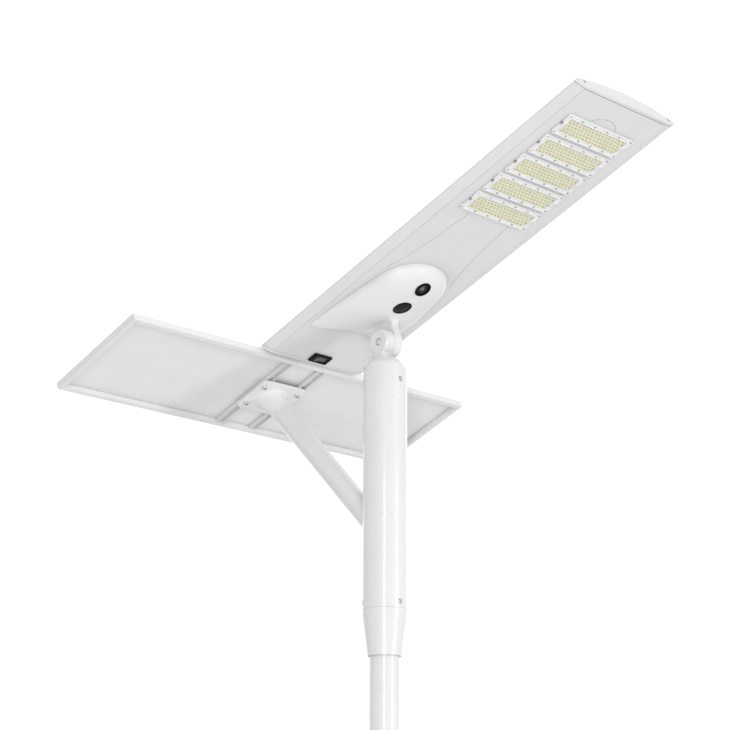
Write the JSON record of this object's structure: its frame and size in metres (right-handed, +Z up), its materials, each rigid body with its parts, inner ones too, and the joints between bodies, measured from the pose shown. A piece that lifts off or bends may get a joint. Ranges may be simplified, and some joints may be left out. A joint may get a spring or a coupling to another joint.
{
  "type": "solar street lamp",
  "caption": "Pole-top solar street lamp: a long tilting LED lantern with a camera and sensor boss, and a separate solar panel on a bent-back arm, on a slip-over sleeve.",
  "frame": {"origin": "on the pole's axis, at the lower cut end of the pole-top section", "axes": "+Z up along the pole, -Y towards the lantern's tip, +Y towards the solar panel, +X across the width"},
  "size_m": [1.2032, 1.4433, 1.4894],
  "materials": {
    "pole_paint": "gloss white powder coat on steel",
    "lantern_paint": "satin white powder coat on aluminium",
    "frame_white": "satin white coated aluminium",
    "module_white": "smooth white",
    "steel": "plain stainless",
    "black_plastic": "gloss black",
    "grey_plastic": "matt dark grey",
    "camera_glass": "coated, dark",
    "led_board": "white solder mask with yellow LED chips",
    "lens_clear": "clear polycarbonate",
    "panel_glass": "clear tempered",
    "solar_cell": "dark blue silicon",
    "backsheet_white": "matt white film",
    "battery_wrap": "blue heat-shrink wrap"
  },
  "bodies": {
    "pole": {"pole_top_section": "pole_paint"},
    "sleeve": {"taper_collar": "pole_paint", "sleeve_tube": "pole_paint", "sleeve_head": "pole_paint", "set_screw_1": "steel", "set_screw_2": "steel", "set_screw_3": "steel", "set_screw_4": "steel", "set_screw_5": "steel", "set_screw_6": "steel", "hinge_bolt": "steel", "hinge_washer": "steel", "hinge_nut": "steel", "panel_arm": "pole_paint", "mount_plate": "pole_paint", "panel_rail_1": "frame_white", "panel_rail_2": "frame_white", "rail_bolt_1": "steel", "rail_bolt_2": "steel", "rail_bolt_3": "steel", "rail_bolt_4": "steel", "junction_box": "black_plastic", "panel_frame_front": "frame_white", "panel_frame_right": "frame_white", "panel_frame_back": "frame_white", "panel_frame_left": "frame_white", "panel_glass": "panel_glass", "solar_cells": "solar_cell", "panel_backsheet": "backsheet_white"},
    "lamp": {"top_housing": "lantern_paint", "base_plate": "lantern_paint", "tip_cap": "lantern_paint", "rear_cap": "lantern_paint", "tip_cap_screw_1": "steel", "tip_cap_screw_2": "steel", "rear_cap_screw_1": "steel", "rear_cap_screw_2": "steel", "led_frame_1": "module_white", "led_board_1": "led_board", "led_lens_1": "lens_clear", "led_frame_2": "module_white", "led_board_2": "led_board", "led_lens_2": "lens_clear", "led_frame_3": "module_white", "led_board_3": "led_board", "led_lens_3": "lens_clear", "led_frame_4": "module_white", "led_board_4": "led_board", "led_lens_4": "lens_clear", "led_frame_5": "module_white", "led_board_5": "led_board", "led_lens_5": "lens_clear", "hinge_boss": "lantern_paint", "camera_body": "black_plastic", "camera_lens": "camera_glass", "sensor_window": "black_plastic", "switch_housing": "black_plastic", "battery_pack": "battery_wrap", "charge_controller": "grey_plastic"},
    "rocker": {"switch_rocker": "grey_plastic"}
  },
  "joints": [
    {"name": "sleeve_yaw", "type": "hinge", "parent": "pole", "child": "sleeve", "pos_m": [0, 0, 0], "axis": [0, 0, 1], "range_deg": [-180, 180]},
    {"name": "lamp_tilt", "type": "hinge", "parent": "sleeve", "child": "lamp", "pos_m": [0, 0, 1.038], "axis": [1, 0, 0], "range_deg": [0, 20.5]},
    {"name": "switch_rock", "type": "hinge", "parent": "lamp", "child": "rocker", "pos_m": [0, 0.25336, 1.05174], "axis": [0, 0.9367, -0.3502], "range_deg": [0, 16]}
  ]
}
